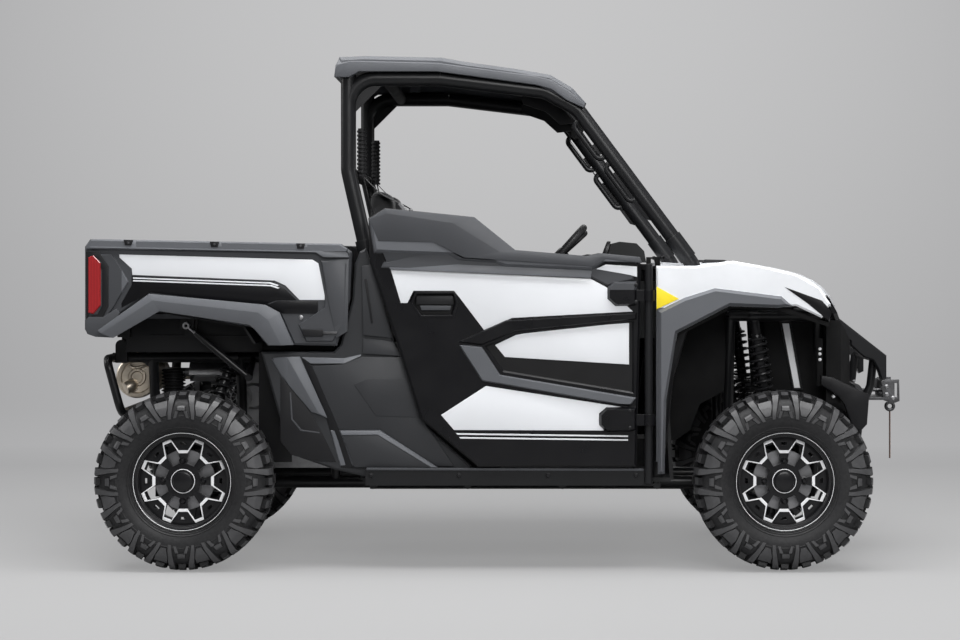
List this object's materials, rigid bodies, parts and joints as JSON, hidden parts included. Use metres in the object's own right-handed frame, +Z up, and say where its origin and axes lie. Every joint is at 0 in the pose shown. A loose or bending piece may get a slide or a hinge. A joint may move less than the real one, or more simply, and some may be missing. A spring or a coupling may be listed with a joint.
{
  "type": "side by side utv",
  "caption": "Two seat side by side utility vehicle with a roll cage, roof, doors, a tipping cargo bed with a tailgate, a hinged hood and steered front wheels.",
  "frame": {"origin": "on the ground, under the middle of the bounding box", "axes": "+X forwards along the vehicle, +Y to its left, +Z up"},
  "size_m": [3.291, 1.58, 2.0392],
  "materials": {
    "frame_steel": "satin black powder coat",
    "floor_plastic": "moulded black plastic",
    "body_dark_grey": "grained dark grey moulded plastic",
    "roof_plastic": "grained dark grey moulded plastic",
    "trim_black": "black moulded plastic",
    "body_white": "gloss light grey-white moulded in colour",
    "lamp_lens": "clear lamp lens",
    "red_lens": "red lamp lens",
    "bare_steel": "bare or zinc plated steel",
    "webbing": "brown woven webbing",
    "seat_cover": "black seat cover",
    "belt_black": "black ribbed sleeve",
    "engine_metal": "cast aluminium",
    "muffler_metal": "heat tinted sheet steel",
    "cast_metal": "black cast metal",
    "shock_black": "black painted steel",
    "tyre_rubber": "black rubber",
    "rim_black": "black painted cast aluminium with machined edges"
  },
  "bodies": {
    "chassis": {"frame": "frame_steel", "floor_pan": "floor_plastic", "side_bars": "frame_steel", "quarter_panels": "body_dark_grey", "cage_right": "frame_steel", "cage_left": "frame_steel", "cage_cross": "frame_steel", "roof": "roof_plastic", "cowl": "trim_black", "fender_right": "body_white", "fender_left": "body_white", "front_fascia": "trim_black", "headlamps": "lamp_lens", "front_guard": "frame_steel", "winch": "bare_steel", "hook_strap": "webbing", "dash": "floor_plastic", "seat_cushions": "seat_cover", "seat_backs": "seat_cover", "seat_belts": "belt_black", "engine": "engine_metal", "muffler": "muffler_metal", "front_arms": "frame_steel", "rear_arms": "frame_steel", "rear_knuckles": "cast_metal", "shocks": "shock_black", "front_drive": "cast_metal", "rear_drive": "cast_metal"},
    "steering_wheel": {"steering_wheel": "trim_black"},
    "door_right": {"door_right": "body_white"},
    "door_left": {"door_left": "body_white"},
    "bed": {"bed_tub": "body_dark_grey", "bed_frame": "frame_steel", "taillamps": "red_lens"},
    "tailgate": {"tailgate": "body_dark_grey"},
    "hood": {"hood": "body_white"},
    "knuckle_right": {"knuckle_right": "cast_metal"},
    "knuckle_left": {"knuckle_left": "cast_metal"},
    "tie_rods": {"tie_rods": "bare_steel"},
    "strut_cylinder": {"strut_cylinder": "shock_black"},
    "strut_rod": {"strut_rod": "bare_steel"},
    "wheel_front_right": {"tyre_front_right": "tyre_rubber", "rim_front_right": "rim_black"},
    "wheel_front_left": {"tyre_front_left": "tyre_rubber", "rim_front_left": "rim_black"},
    "wheel_rear_right": {"tyre_rear_right": "tyre_rubber", "rim_rear_right": "rim_black"},
    "wheel_rear_left": {"tyre_rear_left": "tyre_rubber", "rim_rear_left": "rim_black"}
  },
  "joints": [
    {"name": "steer_right", "type": "hinge", "parent": "chassis", "child": "knuckle_right", "pos_m": [1.092, -0.585, 0.352], "axis": [0, 0, 1], "range_deg": [-28, 28]},
    {"name": "steer_left", "type": "hinge", "parent": "chassis", "child": "knuckle_left", "pos_m": [1.092, 0.585, 0.352], "axis": [0, 0, 1], "range_deg": [-28.5, 28.5]},
    {"name": "steering_column", "type": "hinge", "parent": "chassis", "child": "steering_wheel", "pos_m": [0.229, 0.38, 1.232], "axis": [-0.6639, 0, 0.7478], "range_deg": [-290, 290]},
    {"name": "rack_slide", "type": "slide", "parent": "chassis", "child": "tie_rods", "axis": [0, -1, 0], "range_m": [-0.054, 0.054]},
    {"name": "wheel_front_right_spin", "type": "hinge", "parent": "knuckle_right", "child": "wheel_front_right", "pos_m": [1.092, -0.663, 0.352], "axis": [0, 1, 0], "continuous": true},
    {"name": "wheel_front_left_spin", "type": "hinge", "parent": "knuckle_left", "child": "wheel_front_left", "pos_m": [1.092, 0.663, 0.352], "axis": [0, 1, 0], "continuous": true},
    {"name": "wheel_rear_right_spin", "type": "hinge", "parent": "chassis", "child": "wheel_rear_right", "pos_m": [-1.257, -0.663, 0.352], "axis": [0, 1, 0], "continuous": true},
    {"name": "wheel_rear_left_spin", "type": "hinge", "parent": "chassis", "child": "wheel_rear_left", "pos_m": [-1.257, 0.663, 0.352], "axis": [0, 1, 0], "continuous": true},
    {"name": "door_right_hinge", "type": "hinge", "parent": "chassis", "child": "door_right", "pos_m": [0.562, -0.735, 0.9], "axis": [0, 0, 1], "range_deg": [0, 70]},
    {"name": "door_left_hinge", "type": "hinge", "parent": "chassis", "child": "door_left", "pos_m": [0.562, 0.735, 0.9], "axis": [0, 0, -1], "range_deg": [0, 70]},
    {"name": "bed_tilt", "type": "hinge", "parent": "chassis", "child": "bed", "pos_m": [-1.56, 0, 0.868], "axis": [0, -1, 0], "range_deg": [0, 45]},
    {"name": "tailgate_hinge", "type": "hinge", "parent": "bed", "child": "tailgate", "pos_m": [-1.627, 0, 0.978], "axis": [0, -1, 0], "range_deg": [0, 90]},
    {"name": "hood_hinge", "type": "hinge", "parent": "chassis", "child": "hood", "pos_m": [0.646, 0, 1.2254], "axis": [0, -1, 0], "range_deg": [0, 50]},
    {"name": "strut_swing", "type": "hinge", "parent": "chassis", "child": "strut_cylinder", "pos_m": [-1.026, -0.5, 0.745], "axis": [0, -1, 0], "range_deg": [-6, 1]},
    {"name": "strut_slide", "type": "slide", "parent": "strut_cylinder", "child": "strut_rod", "axis": [-0.77, 0, 0.6381], "range_m": [0, 0.23]}
  ],
  "couplings": [
    {"joint": "steer_left", "follows": "steer_right", "ratio": 1},
    {"joint": "steering_column", "follows": "steer_right", "ratio": 10},
    {"joint": "rack_slide", "follows": "steer_right", "m_per_rad": 0.1057},
    {"joint": "strut_swing", "follows": "bed_tilt", "ratio": -0.1},
    {"joint": "strut_slide", "follows": "bed_tilt", "m_per_rad": 0.2839}
  ]
}
